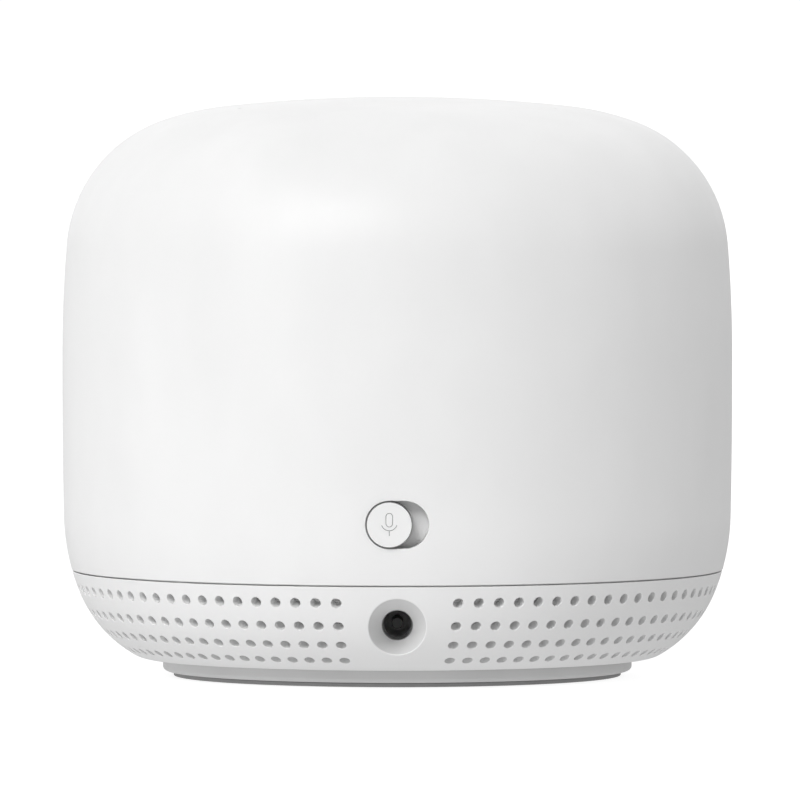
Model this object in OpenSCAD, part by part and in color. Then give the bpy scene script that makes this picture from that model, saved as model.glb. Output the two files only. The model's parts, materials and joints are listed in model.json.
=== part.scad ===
/* [Casing] */
// Greatest width of the round casing
body_d = 102; // [101:0.5:104]
// Height from the foot to the crown
body_h = 88; // [87.5:0.1:90]
// Wall of the plain upper casing
top_wall = 2.2; // [2:0.1:2.3]
// Wall of the perforated base casing
base_wall = 1.8; // [1.6:0.1:1.9]
// Height of the joint line between the two casings
seam_z = 16.05; // [15.8:0.05:16.1]
// Width of the open joint line
seam_gap = 0.22; // [0.2:0.01:0.32]

/* [Perforations] */
// Diameter of a sound hole
hole_d = 1.6; // [1.2:0.1:1.8]
// Holes in one row
holes_per_row = 91; // [40:1:96]
// Rows of sound holes
hole_rows = 4; // [1:1:4]
// Angle from the power inlet to the first hole of a row
first_hole = 10.9; // [10.6:0.1:16]
// Slope of the casing at the top row, below the horizontal
row_slope = 20.7; // [20.4:0.1:20.8]
// Change of slope from one row to the next
row_step = 11.15; // [10.5:0.05:11.3]

/* [Power inlet] */
// Height of the inlet's axis
inlet_z = 9.9; // [9.8:0.05:10.2]
// Diameter of the hole that the plug goes through
inlet_d = 4.56; // [4.3:0.02:4.7]
// Width of the funnel's rim
inlet_rim_d = 8.8; // [8:0.1:9.2]

/* [Mute slider] */
// Height of the slider
slider_z = 25.4; // [24.8:0.05:25.8]
// Width of the slot
slot_w = 9.54; // [9.2:0.02:9.8]
// Height of the slot
slot_h = 7.15; // [7:0.05:7.4]
// Diameter of the knob
knob_d = 6.96; // [6.6:0.02:7]
// Travel from on to muted
mute_travel = 2.4; // [1.8:0.1:2.4]

/* [Foot and light] */
// Radius of the foot pad
foot_r = 34.05; // [33.6:0.05:34.3]
// Outer radius of the light ring
light_r = 35.7; // [35.5:0.05:35.8]
// Travel of the reset button
reset_travel = 0.4; // [0.2:0.1:0.4]

/* [Hidden] */
$fn = 96;

body_r = body_d / 2;
widest_z = 46.1;

// The outline is a chain of arcs, each given by its radius and by the directions of its
// normal at its two ends, and each tangent to the next. A long shallow arc joins the two.
crown_arcs = [[244, 90, 83.66], [40.1, 83.66, 70], [21.5, 70, 4.7]];
bowl_arcs = [[1100, 0, -1.13], [33, -1.13, -21.8], [19.2, -21.8, -59.9], [4.6, -59.9, -80]];
crown_top = [0, body_h];
bowl_top = [body_r, widest_z];

function dir(a) = [cos(a), sin(a)];
function steps(a0, a1, n) = [for (i = [0 : n]) a0 + (a1 - a0) * i / n];
function centre(arcs, start, i) =
    i == 0 ? start - arcs[0][0] * dir(arcs[0][1])
           : centre(arcs, start, i - 1) + (arcs[i - 1][0] - arcs[i][0]) * dir(arcs[i][1]);
function arc_of(arcs, a, i = 0) =
    a >= arcs[i][2] || i == len(arcs) - 1 ? i : arc_of(arcs, a, i + 1);
// The point where the surface's normal has direction a, moved in by some depth
function on_arcs(arcs, start, a, depth = 0) =
    let (i = arc_of(arcs, a)) centre(arcs, start, i) + (arcs[i][0] - depth) * dir(a);
function on_crown(a, depth = 0) = on_arcs(crown_arcs, crown_top, a, depth);
function on_bowl(a, depth = 0) = on_arcs(bowl_arcs, bowl_top, -a, depth);
function reversed(list) = [for (i = [len(list) - 1 : -1 : 0]) list[i]];

side_a = crown_arcs[2][2];
side_r = (body_r - on_crown(side_a)[0]) / (1 - cos(side_a));
side_c = on_crown(side_a) - side_r * dir(side_a);
function on_side(a, depth = 0) = side_c + (side_r - depth) * dir(a);

// Slope of the bowl at a height on its second arc
function slope_at(z) = asin((centre(bowl_arcs, bowl_top, 1)[1] - z) / bowl_arcs[1][0]);

crown_angles = concat([90, 87], steps(83.66, 70, 3), steps(64.8, side_a, 12));
side_angles = [side_a / 2, 0];
skirt_angles = [0.01, 1.13, 4.5, 8.5, 12.5, slope_at(seam_z + seam_gap / 2)];

// Each row of holes lies on a flat conical band of the bowl
row_half = 1.15;
row_edges = [for (row = [0 : hole_rows - 1], side = [-1, 1])
    let (a = row_slope + row * row_step, r = bowl_arcs[arc_of(bowl_arcs, -a)][0])
    a + side * row_half / r * 180 / PI];
bowl_angles = concat([slope_at(seam_z - seam_gap / 2)], row_edges, [59.9]);
edge_angles = [64, 69, 74, 80];
cloth_angles = concat([row_slope - 1.4], [for (i = [1 : len(row_edges) - 1]) row_edges[i]]);
hole_step = (360 - 2 * first_hole) / (holes_per_row - 1);

// Heights of the layers inside, from the foot up
pan_z = 1.2;
pan_floor = 2.7;
flange_z = 6;
flange_top = 7.5;
baffle_z = 15;
box_top = 40;
frame_z = 43;
board_z = 50;
board_top = 51.6;
sink_z = 56.6;
touch_z = 78.5;

speaker_z = 17;

pan_r = 32.9;
foot_z = 0.6;
rim_r = 35.9;
rim_z = 2.6;
lip_r = 47;
box_r = 36;
frame_r = 42;
// Distances of the screw places from the axis
column_r = 27.6;
strut_r = 21;
basket_r = 23;
mount_r = 27;
board_r = 33;
post_r = 45;
// Radii of a clearance hole, of a pilot hole and of a screw's shank
screw_r = 1.1;
pilot_r = 0.95;
shank_r = 0.9;

jack_front = -38.9;
jack_rear = -27;
jack_r = 3.7;
barrel_r = 2.05;
reset_y = 14;
reset_top = 4;
label_y = -4;
mic_x = 24;
mic_y = -9;
mic_r = 0.4;

// The mute slider's layers behind the slot, from the knob's face inwards
knob_x = -mute_travel / 2;
knob_front = -51.2;
plate_y = -47.9;
plate_back = -46.7;
switch_y = -41.2;
plate_w = 6.6;
plate_h = 4.2;
pocket_w = 9.2;
pocket_h = 5.5;

module disc(r, z0, z1) translate([0, 0, z0]) cylinder(r = r, h = z1 - z0);
module tube(r0, r1, z0, z1) difference() {
    disc(r1, z0, z1);
    disc(r0, z0 - 1, z1 + 1);
}
module block(x0, x1, y0, y1, z0, z1) translate([x0, y0, z0]) cube([x1 - x0, y1 - y0, z1 - z0]);
module at_quarters(r, a0 = 45)
    for (a = [0 : 90 : 270]) rotate([0, 0, a0 + a]) translate([r, 0, 0]) children();
module at_thirds(r, a0 = 90)
    for (a = [0 : 120 : 240]) rotate([0, 0, a0 + a]) translate([r, 0, 0]) children();
module at_microphones() for (s = [-1, 1]) translate([s * mic_x, mic_y, 0]) children();
// A rod along Y
module rod_y(r, y0, y1, z) translate([0, y1, z]) rotate([90, 0, 0]) cylinder(r = r, h = y1 - y0);
// A slot with round ends, cut along Y
module slot_y(w, h, y0, y1, z) {
    block(-(w - h) / 2, (w - h) / 2, y0, y1, z - h / 2, z + h / 2);
    for (s = [-1, 1]) translate([s * (w - h) / 2, 0, 0]) rod_y(h / 2, y0, y1, z);
}
// A pan-head screw with its head's seat at z = 0 and its shank pointing down
module screw(length, r = shank_r, head_r = 1.9, head_h = 1.2) difference() {
    union() {
        disc(head_r, 0, head_h);
        disc(r, -length, 0.1);
    }
    translate([0, 0, head_h - 0.7]) cylinder(r = 0.9, h = 1, $fn = 6);
}

// A round cord swept along a list of points by turning each ring to face along the route
function unit(v) = v / norm(v);
function along(p, i) = unit(p[min(i + 1, len(p) - 1)] - p[max(i - 1, 0)]);
function side_of(t) = unit(cross(t, abs(t[2]) > 0.9 ? [0, 1, 0] : [0, 0, 1]));
// Catmull-Rom points between the hand-placed ones
function spline(p, i, t) =
    let (a = p[max(i - 1, 0)], b = p[i], c = p[i + 1], d = p[min(i + 2, len(p) - 1)])
    0.5 * (2 * b + (c - a) * t + (2 * a - 5 * b + 4 * c - d) * t * t
        + (3 * b - a - 3 * c + d) * t * t * t);
function smooth_route(p, n) = concat(
    [for (i = [0 : len(p) - 2], k = [0 : n - 1]) spline(p, i, k / n)], [p[len(p) - 1]]);
// Carries the side direction along the route so that the cord does not twist
function carried(p, i, u0) = i == 0 ? [unit(u0 - (u0 * along(p, 0)) * along(p, 0))] :
    let (before = carried(p, i - 1, u0), u = before[len(before) - 1], t = along(p, i))
    concat(before, [unit(u - (u * t) * t)]);
module cord(route, r, sides = 8) {
    n = len(route);
    us = carried(route, n - 1, side_of(along(route, 0)));
    points = [for (i = [0 : n - 1], k = [0 : sides - 1])
        let (t = along(route, i), u = us[i], v = cross(t, u), a = 360 * k / sides)
        route[i] + r * (cos(a) * u + sin(a) * v)];
    sleeve = [for (i = [0 : n - 2], k = [0 : sides - 1])
        let (a = i * sides + k, b = i * sides + (k + 1) % sides) [a, a + sides, b + sides, b]];
    polyhedron(points, concat(sleeve, [[for (k = [0 : sides - 1]) k]],
        [[for (k = [sides - 1 : -1 : 0]) (n - 1) * sides + k]]), convexity = 6);
}
// A thin ribbon of even thickness along a path in the YZ plane
function left_of(p, i) = let (t = along(p, i)) [-t[1], t[0]];
module ribbon(path, width, thickness, x = 0)
    translate([x - width / 2, 0, 0]) rotate([90, 0, 90]) linear_extrude(width)
    polygon(concat([for (i = [0 : len(path) - 1]) path[i] + left_of(path, i) * thickness / 2],
        [for (i = [len(path) - 1 : -1 : 0]) path[i] - left_of(path, i) * thickness / 2]));

module sound_holes()
    for (row = [0 : hole_rows - 1]) {
        a = row_slope + row * row_step;
        p = on_bowl(a, base_wall + 0.5);
        for (i = [0 : holes_per_row - 1])
            rotate([0, 0, -90 + first_hole + i * hole_step])
                translate([p[0], 0, p[1]])
                rotate([0, 90 + a, 0])
                cylinder(d = hole_d, h = base_wall + 1.2, $fn = 24);
    }

// The funnel narrows from a slanting rim, parallel to the bowl, to the round plug hole.
// Each of its rings is [depth, shift of its centre in height, radius].
module inlet_funnel() {
    tilt = tan(32.6);
    n = 48;
    hole = [-42.7, 0, inlet_d / 2 + 0.08];
    rim = [-46.26, -0.13, inlet_rim_d / 2];
    rings = [hole + 1.5 * (rim - hole), hole];
    points = [for (g = rings, k = [0 : n - 1]) let (a = 360 * k / n, rise = g[1] + g[2] * sin(a))
        [g[2] * cos(a), g[0] - tilt * rise, inlet_z + rise]];
    polyhedron(points, concat(
        [for (k = [0 : n - 1]) [k, (k + 1) % n, n + (k + 1) % n, n + k]],
        [[for (k = [n - 1 : -1 : 0]) k]], [[for (k = [0 : n - 1]) n + k]]));
}

module top_shell() {
    color("white") difference() {
        union() {
            rotate_extrude() polygon(concat(
                [for (a = crown_angles) on_crown(a)], [for (a = side_angles) on_side(a)],
                [for (a = skirt_angles) on_bowl(a)],
                [for (a = reversed(skirt_angles)) on_bowl(a, top_wall)],
                [for (a = reversed(side_angles)) on_side(a, top_wall)],
                [for (a = reversed(crown_angles)) on_crown(a, top_wall)]));
            intersection() {
                at_quarters(post_r) disc(2.4, frame_z + 5.6, body_h);
                rotate_extrude() polygon(concat([[0, frame_z]],
                    [for (a = crown_angles) on_crown(a, top_wall / 2)],
                    [[on_crown(side_a, top_wall / 2)[0], frame_z]]));
            }
        }
        slot_y(slot_w, slot_h, -body_r - 2, -body_r + 5, slider_z);
        block(-pocket_w, pocket_w, plate_y - 0.2, plate_y + 4, slider_z - pocket_h,
            slider_z + pocket_h);
        at_microphones() disc(mic_r, body_h - 5, body_h + 1);
        at_quarters(post_r) disc(shank_r, frame_z + 4, frame_z + 16);
    }
}

module base_shell_plain() difference() {
    union() {
        rotate_extrude() polygon(concat(
            [for (a = bowl_angles) on_bowl(a)], [for (a = edge_angles) on_bowl(a)],
            [[rim_r, rim_z], [rim_r, flange_z], [24, flange_z], [24, flange_top],
            [36.6, flange_top]],
            [for (i = [len(bowl_angles) - 1 : -1 : 1]) on_bowl(bowl_angles[i], base_wall)],
            [[lip_r - 1.1, seam_z - 0.9], [lip_r - 1.1, seam_z + 2.25], [lip_r, seam_z + 2.25],
            [lip_r, seam_z - seam_gap / 2]]));
        intersection() {
            rod_y(6, -50, -39, inlet_z);
            rotate_extrude() polygon(concat(
                [for (a = bowl_angles) on_bowl(a, base_wall / 2)], [[38, 4], [30, 4], [30, 15.4]]));
        }
    }
    inlet_funnel();
    rod_y(inlet_d / 2, -44.6, -38, inlet_z);
    block(-7, 7, -38.5, -20, flange_z - 1, flange_top + 1);
    at_quarters(column_r) disc(screw_r + 0.1, flange_z - 1, flange_top + 1);
}

module base_shell() {
    color("whitesmoke") difference() {
        base_shell_plain();
        sound_holes();
    }
}

module light_ring() {
    color("lightgray") rotate_extrude() polygon([[pan_r + 0.1, 4.5], [pan_r + 0.1, foot_z + 0.05],
        [foot_r + 0.15, foot_z + 0.05], [light_r - 0.7, foot_z + 0.1],
        [light_r - 0.25, foot_z + 0.3], [light_r, foot_z + 0.65], [light_r, 4.5]]);
}

module base_plate() {
    color("gainsboro") difference() {
        union() {
            disc(pan_r, pan_z, pan_floor);
            tube(pan_r - 1.5, pan_r, pan_z, flange_z - 0.05);
            at_quarters(column_r) disc(3, pan_z, flange_z - 0.05);
            at_thirds(strut_r) disc(2.2, pan_z, flange_z);
        }
        block(-5, 5, -34, -30, flange_z, flange_top);
        at_quarters(column_r) {
            disc(screw_r + 0.1, pan_z - 1, flange_z + 1);
            disc(2.2, pan_z - 1, pan_z + 1.3);
        }
        at_thirds(strut_r) disc(pilot_r, pan_floor + 0.6, flange_z + 1);
        translate([0, reset_y, 0]) disc(1.8, pan_z - 1, pan_floor + 1);
    }
}

module foot_pad() {
    color("dimgray") {
        tube(21, foot_r, 0, foot_z);
        tube(21, pan_r - 0.1, foot_z, pan_z);
    }
}

module rating_label() {
    color("silver") translate([0, label_y, 0]) disc(12, pan_z - 0.15, pan_z);
}

module reset_button() {
    color("gray") translate([0, reset_y, 0]) {
        disc(1.6, pan_z + 0.15, pan_floor + 0.3);
        disc(2.6, pan_floor + 0.1, pan_floor + 0.7);
        disc(0.9, pan_floor + 0.6, reset_top);
    }
}

module reset_stem() {
    color("black") translate([0, reset_y, 0]) disc(0.8, reset_top, reset_top + 1.1);
}

module reset_switch() {
    color("silver") translate([0, reset_y, 0]) difference() {
        block(-2.25, 2.25, -2.25, 2.25, reset_top + reset_travel + 0.05, flange_z);
        disc(1, reset_top, reset_top + reset_travel + 1.2);
    }
}

module grille_cloth() {
    gap = 9.6;
    color("darkgray") rotate([0, 0, -90 + gap]) rotate_extrude(angle = 360 - 2 * gap) polygon(concat(
        [for (a = cloth_angles) on_bowl(a, base_wall + 0.12)],
        [for (a = reversed(cloth_angles)) on_bowl(a, base_wall + 0.5)]));
}

module light_board() {
    color("seagreen") {
        tube(pan_r + 0.2, rim_r - 0.2, 5.2, 5.9);
        for (a = [0 : 45 : 315]) rotate([0, 0, a + 22.5])
            translate([(pan_r + rim_r) / 2 - 0.6, -0.8, 4.6]) cube([1.2, 1.6, 0.6]);
    }
}

module dc_jack() {
    color("black") difference() {
        union() {
            rod_y(jack_r, jack_front, jack_rear, inlet_z);
            block(-jack_r, jack_r, jack_front + 3, jack_rear, inlet_z - 3.5, inlet_z);
        }
        rod_y(barrel_r, jack_front - 1, jack_rear - 2.5, inlet_z);
        rod_y(0.8, jack_rear - 4, jack_rear + 1, inlet_z);
    }
}

module jack_contacts() {
    color("silver") {
        rod_y(0.8, jack_front + 0.6, jack_rear + 0.6, inlet_z);
        block(-0.8, 0.8, jack_rear + 0.55, jack_rear + 1, flange_z - 0.4, inlet_z + 0.8);
        for (s = [-1, 1]) {
            block(s * 2.6 - 0.5, s * 2.6 + 0.5, jack_rear, jack_rear + 0.9, inlet_z - 1.5, inlet_z - 1.1);
            block(s * 2.6 - 0.5, s * 2.6 + 0.5, jack_rear + 0.5, jack_rear + 0.9,
                flange_z - 0.4, inlet_z - 1.1);
        }
    }
}

module power_board() {
    color("darkgreen") difference() {
        union() {
            disc(23, flange_z, flange_z + 1);
            block(-6, 6, jack_rear, -18, flange_z, flange_z + 1);
        }
        at_thirds(strut_r) disc(screw_r, flange_z - 1, flange_z + 2);
        for (x = [-2.6, 0, 2.6]) block(x - 0.9, x + 0.9, jack_rear + 0.4, jack_rear + 1.1,
            flange_z - 1, flange_z + 2);
    }
}

module power_parts() {
    color("dimgray") {
        block(-3.5, 3.5, -3.5, 3.5, flange_z + 1, flange_z + 3.8);
        block(5.5, 10, -12, -8.5, flange_z + 1, flange_z + 1.8);
        block(-13, -7, 2, 7, flange_z + 1, flange_z + 1.9);
    }
    color("silver") {
        for (p = [[7, 2], [0, 7], [-6, -6]])
            translate([p[0], p[1], 0]) disc(1.6, flange_z + 1, flange_z + 2.8);
        for (i = [0 : 4])
            block(-4 + 1.9 * i, -3 + 1.9 * i, -14, -12.4, flange_z + 1, flange_z + 1.6);
    }
}

// The supply lead leaves its connector under the deflector, passes between two columns
// and climbs beside the speaker box to the main board
power_route = [[-12, -17, 8.2], [-15, -22, 8.8], [-19, -31, 9.3], [-20.5, -35, 12],
    [-20.5, -35.2, 18], [-20.5, -35.2, 32], [-20.5, -35, 42], [-19, -32, 46], [-17, -29, 47.6]];
module power_cable() {
    color("black") {
        cord(smooth_route(power_route, 5), 1);
        translate([-12, -17, 0]) rotate([0, 0, 60]) translate([-1.6, -2.2, flange_z + 1])
            cube([2.6, 4.4, 2.4]);
        translate([-17, -29, 0]) rotate([0, 0, 60]) translate([-1, -2.5, 46.4]) cube([4.5, 5, 2.4]);
    }
}

// The cone under the speaker turns its sound outwards to the holes
module acoustic_deflector() {
    color("dimgray") difference() {
        union() {
            rotate_extrude() polygon([[24, 8], [24, 9], [19, 9.2], [14, 10.1], [9, 11.6],
                [5, 13.3], [2.5, 14], [0, 14.3], [0, 13.1], [2, 12.9], [4.4, 12.2], [8.4, 10.5],
                [13.6, 9], [18.6, 8.1]]);
            at_thirds(strut_r) disc(2.4, flange_z + 1, 9.1);
        }
        at_thirds(strut_r) disc(screw_r, flange_z, 10);
        rotate([0, 0, 235]) block(17, 25, -3, 3, 7, 10);
    }
}

module deflector_screws() {
    color("silver") at_thirds(strut_r) translate([0, 0, 9.2]) screw(5.5);
}

module base_screws() {
    color("silver") at_quarters(column_r) translate([0, 0, pan_z + 1.3]) mirror([0, 0, 1])
        screw(11.5, 1);
}

module speaker_box() {
    color("gray") difference() {
        union() {
            disc(box_r, baffle_z, baffle_z + 2);
            tube(box_r - 1.6, box_r, baffle_z, box_top);
            at_quarters(column_r) disc(3, flange_top + 0.05, baffle_z + 1);
            at_quarters(basket_r, 0) disc(2.5, baffle_z, speaker_z + 1.4);
            at_quarters(mount_r) disc(3, box_top - 3.5, box_top);
            at_quarters(mount_r) block(0, 8, -1, 1, box_top - 3.5, box_top);
        }
        disc(17.6, baffle_z - 1, baffle_z + 3);
        at_quarters(column_r) disc(1, flange_top - 1, 14.2);
        at_quarters(basket_r, 0) disc(shank_r, baffle_z + 0.4, speaker_z + 3);
        at_quarters(mount_r) disc(shank_r, box_top - 3, box_top + 1);
    }
}

module speaker_lid() {
    color("gray") difference() {
        disc(box_r, box_top, box_top + 1.6);
        at_quarters(mount_r) disc(1.2, box_top - 1, box_top + 3);
        translate([20, -12, 0]) disc(1.5, box_top - 1, box_top + 3);
    }
}

module acoustic_foam() {
    color("lightyellow") difference() {
        tube(27, 34.2, 21, 34);
        rotate([0, 0, -30]) block(0, 40, -2.5, 2.5, 20, 35);
    }
}

module speaker_gasket() {
    color("black") tube(17.8, 20.4, speaker_z, speaker_z + 0.4);
}

module speaker_basket() {
    color("slategray") difference() {
        union() {
            rotate_extrude() polygon([[17.4, 17.4], [20.5, 17.4], [20.5, 18.4], [18.4, 18.4],
                [18.4, 21.6], [15.2, 27], [15.2, 28.2], [7.8, 28.2], [7.8, 27.2], [13.9, 27.2],
                [13.9, 26.2], [17.4, 20.9]]);
            at_quarters(basket_r, 0) disc(2.5, speaker_z + 1.4, speaker_z + 2.4);
            at_quarters(20.5, 0) block(-1.5, 2, -2.2, 2.2, speaker_z + 1.4, speaker_z + 2.4);
        }
        at_quarters(basket_r, 0) disc(screw_r, speaker_z, speaker_z + 4);
        at_quarters(0, 45) block(8, 20, -6.5, 6.5, 19.6, 26.1);
    }
}

// Half roll of rubber between the cone and the basket
module speaker_surround() {
    color("black") rotate_extrude() intersection() {
        translate([15.7, 17.9]) difference() {
            circle(1.65);
            circle(1.3);
        }
        translate([13, 15]) square([6, 2.9]);
    }
}

module speaker_cone() {
    color("dimgray") rotate_extrude() polygon([[14.35, 17.95], [13.6, 17.95], [6.7, 23.4],
        [6.7, 23.85], [7.1, 23.85], [14.35, 18.35]]);
}

module dust_cap() {
    color("black") rotate_extrude() intersection() {
        translate([0, 26.4]) difference() {
            circle(7.9);
            circle(7.55);
        }
        translate([0, 18]) square([6.3, 4.6]);
    }
}

module voice_coil() {
    color("peru") {
        tube(6.35, 6.6, 22.7, 31);
        tube(6.6, 7.05, 27.6, 30.8);
    }
}

// Corrugated disc that centres the coil
module speaker_spider() {
    n = 5;
    pitch = (13.8 - 6.7) / (2 * n);
    wave = [for (i = [0 : 2 * n]) [6.7 + i * pitch, 25.2 + (i % 2 == 0 ? -0.25 : 0.25)]];
    color("tan") rotate_extrude() polygon(concat(wave,
        [for (i = [2 * n : -1 : 0]) wave[i] + [0, 0.3]]));
}

module pole_plate() {
    color("silver") tube(7.4, 13.5, 28.2, 30.4);
}

module speaker_magnet() {
    color("black") tube(8.6, 14.8, 30.4, 35.4);
}

module speaker_yoke() {
    color("silver") difference() {
        union() {
            disc(14.2, 35.4, 37.6);
            disc(6, 28.4, 36);
        }
        disc(1.6, 27, 39);
    }
}

wire_route = [[15.6, -9, 22], [18, -10.4, 24], [20, -12, 30], [20, -12, 38], [20, -12, 42],
    [21, -12, 46], [21, -13, 48]];
module speaker_wires() {
    color("red") translate([0, 0.8, 0]) cord(smooth_route(wire_route, 4), 0.5);
    color("black") translate([0, -0.8, 0]) cord(smooth_route(wire_route, 4), 0.5);
}

module speaker_screws() {
    color("silver") at_quarters(basket_r, 0) translate([0, 0, speaker_z + 2.4]) screw(3.6);
}

module isolators() {
    color("black") at_quarters(mount_r) difference() {
        disc(3.6, box_top + 1.6, frame_z);
        disc(1.2, box_top, frame_z + 1);
    }
}

module box_screws() {
    color("silver") at_quarters(mount_r) translate([0, 0, frame_z + 1.5]) screw(6.8);
}

module inner_frame() {
    color("lightgray") difference() {
        union() {
            tube(15, frame_r, frame_z, frame_z + 1.5);
            tube(frame_r - 1.5, frame_r, frame_z, 70);
            at_quarters(board_r) disc(2.6, frame_z, board_z);
            at_quarters(post_r) disc(2.6, frame_z + 3.5, frame_z + 5.5);
            at_quarters(41.6) block(0, 3.4, -2.6, 2.6, frame_z + 3.5, frame_z + 5.5);
        }
        at_quarters(board_r) disc(pilot_r, frame_z + 2, board_z + 1);
        at_quarters(mount_r) disc(1.2, frame_z - 1, frame_z + 3);
        at_quarters(post_r) disc(screw_r, frame_z, frame_z + 8);
        block(-8, 8, -45, -32, frame_z - 1, 51);
        translate([-20.5, -34.5, 0]) disc(3, frame_z - 1, frame_z + 3);
        translate([21, -12, 0]) disc(3, frame_z - 1, frame_z + 3);
        at_quarters(0, 0) block(38, 44, -2, 2, 61, 71);
        at_quarters(0, 22.5) block(38, 44, -6, 6, 52, 62);
        at_quarters(0, -22.5) block(38, 44, -6, 6, 52, 62);
    }
}

module frame_screws() {
    color("silver") at_quarters(post_r) translate([0, 0, frame_z + 3.5]) mirror([0, 0, 1])
        screw(9);
}

module main_board() {
    color("darkgreen") difference() {
        disc(37.5, board_z, board_top);
        at_quarters(board_r) disc(screw_r, board_z - 1, board_top + 1);
        block(-4.5, 4.5, -40, -35.5, board_z - 1, board_top + 1);
    }
}

module board_parts() {
    color("black") {
        block(-4, 4, -35, -31.5, board_z - 1.8, board_z);
        block(18, 24.5, -16, -12, board_z - 1.8, board_z);
        at_quarters(0, 18) block(33.5, 36, -1.25, 1.25, board_top, board_top + 1.1);
        block(30.4, 34.6, -3.6, 3.6, board_top, board_top + 1.5);
    }
    color("gray") {
        for (i = [0 : 3]) block(-30 + 4.6 * i, -26.4 + 4.6 * i, -17.4, -13.8, board_z - 2, board_z);
        for (i = [0 : 7]) block(-14 + 4 * i, -12.4 + 4 * i, 31, 32, board_top, board_top + 0.7);
        for (i = [0 : 5]) block(-33.5, -32.5, -8 + 3 * i, -6.4 + 3 * i, board_top, board_top + 0.7);
        for (i = [0 : 2]) translate([-8 + 8 * i, 24, 0]) disc(2.5, board_z - 4.6, board_z);
    }
}

module chips() {
    color("black") {
        block(-7, 7, -7, 7, board_top, board_top + 1.1);
        block(-6, 6, -23, -14, board_top, board_top + 1);
        block(12, 21, -21, -12, board_top, board_top + 1);
    }
}

// Pressed cans over the two radios
module radio_shields() {
    color("silver") for (s = [-1, 1]) translate([s * 20, 8, 0]) difference() {
        block(-9, 9, -11, 11, board_top, board_top + 3.4);
        block(-8.8, 8.8, -10.8, 10.8, board_top - 1, board_top + 3.2);
    }
}

module thermal_pads() {
    color("skyblue") {
        block(-7, 7, -7, 7, board_top + 1.1, sink_z);
        block(-6, 6, -23, -14, board_top + 1, sink_z);
        for (s = [-1, 1]) translate([s * 20, 8, 0]) block(-7, 7, -8, 8, board_top + 3.4, sink_z);
    }
}

module heat_sink() {
    color("silver") difference() {
        union() {
            disc(31, sink_z, sink_z + 2);
            intersection() {
                for (x = [-25 : 5 : 25]) block(x - 0.6, x + 0.6, -31, 31, sink_z + 1, 67);
                disc(30.5, sink_z, 67);
            }
            at_quarters(board_r) disc(2.6, board_top, sink_z + 2);
            at_quarters(29) block(0, 4, -2.6, 2.6, sink_z, sink_z + 2);
        }
        at_quarters(board_r) disc(screw_r, board_top - 1, 68);
    }
}

module heat_sink_screws() {
    color("silver") at_quarters(board_r) translate([0, 0, sink_z + 2]) screw(12);
}

// Printed antennas stand on the outside of the frame
module antennas() {
    color("seagreen") at_quarters(42.1, 0) {
        block(0, 0.8, -11, 11, 50, 69);
        block(-0.1, 0.1, -1.8, 1.8, 64, 68);
    }
    color("peru") at_quarters(42.9, 0) {
        block(0, 0.1, -9.5, 9.5, 64.5, 67.5);
        block(0, 0.1, -9.5, -7, 54, 64.5);
        block(0, 0.1, -2, 0, 52, 64.5);
        block(0, 0.1, 4, 6, 57, 64.5);
    }
}

// Each lead climbs its antenna, passes over the frame and drops to a plug on the board
lead_route = [[43.6, -4.5, 58], [44.3, -4.5, 60], [44.3, -3, 64], [43.4, 0, 70.4], [41.2, 1, 71.6],
    [38.6, 4, 69], [37.6, 9, 60], [35.8, 10.9, 54], [34.9, 11.3, 53.4]];
module antenna_leads() {
    color("dimgray") for (a = [0 : 90 : 270]) rotate([0, 0, a]) {
        cord(smooth_route(lead_route, 4), 0.45);
        rotate([0, 0, 18]) translate([34.75, 0, board_top + 1.1]) cylinder(r = 1.1, h = 0.5);
    }
}

module touch_board() {
    color("seagreen") difference() {
        disc(26, touch_z, touch_z + 1);
        at_thirds(22, 0) disc(1.2, touch_z - 1, touch_z + 2);
    }
}

module touch_flex() {
    color("orange") ribbon([[32.5, board_top + 1.65], [36.4, board_top + 1.65], [37.9, 54.4],
        [38.3, 60], [38.3, 72], [36, 76.5], [32, 78], [24, 78.35]], 6, 0.2);
}

module mic_boards() {
    at_microphones() {
        color("seagreen") difference() {
            block(-4, 4, -3, 3, 82.2, 83);
            disc(mic_r, 81, 84);
        }
        color("gold") block(-1.75, 1.75, -1.3, 1.3, 81.2, 82.2);
    }
}

module mic_gaskets() {
    color("black") at_microphones() tube(mic_r + 0.1, 2.4, 83, 84.1);
}

// A flat stadium, h tall and w wide
module slot_flat(w, h) {
    square([w, h - w], center = true);
    for (s = [-1, 1]) translate([0, s * (h - w) / 2]) circle(w / 2, $fn = 48);
}

// Generic microphone sign: a capsule in a cradle on a short stem
module microphone_sign(line = 0.13) {
    translate([0, 0.2]) difference() {
        slot_flat(1.15, 2.1);
        slot_flat(1.15 - 2 * line, 2.1 - 2 * line);
    }
    translate([0, -0.35]) difference() {
        circle(1.05, $fn = 48);
        circle(1.05 - line, $fn = 48);
        translate([-2, 0]) square([4, 2]);
    }
    translate([-line / 2, -1.75]) square([line, 0.4]);
}

module mute_knob() {
    color("white") translate([knob_x, 0, 0]) difference() {
        union() {
            rod_y(knob_d / 2, knob_front, plate_y, slider_z);
            rod_y(1.2, plate_y - 0.1, plate_back, slider_z);
        }
        translate([0, knob_front + 0.1, slider_z]) rotate([90, 0, 0]) linear_extrude(1)
            microphone_sign();
    }
}

module mute_carrier() {
    color("lightgray") translate([knob_x, 0, slider_z]) {
        difference() {
            block(-plate_w, plate_w, plate_y, plate_back, -plate_h, plate_h);
            rod_y(1.25, plate_y - 1, plate_back + 1, 0);
            block(0.5 - plate_w, -3.6, plate_y - 1, plate_y + 0.1, 0.5 - plate_h, plate_h - 0.5);
        }
        for (s = [-1, 1])
            block(s * 1.3 - 0.4, s * 1.3 + 0.4, plate_back, plate_back + 1.8, -1.3, 1.3);
    }
}

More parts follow.
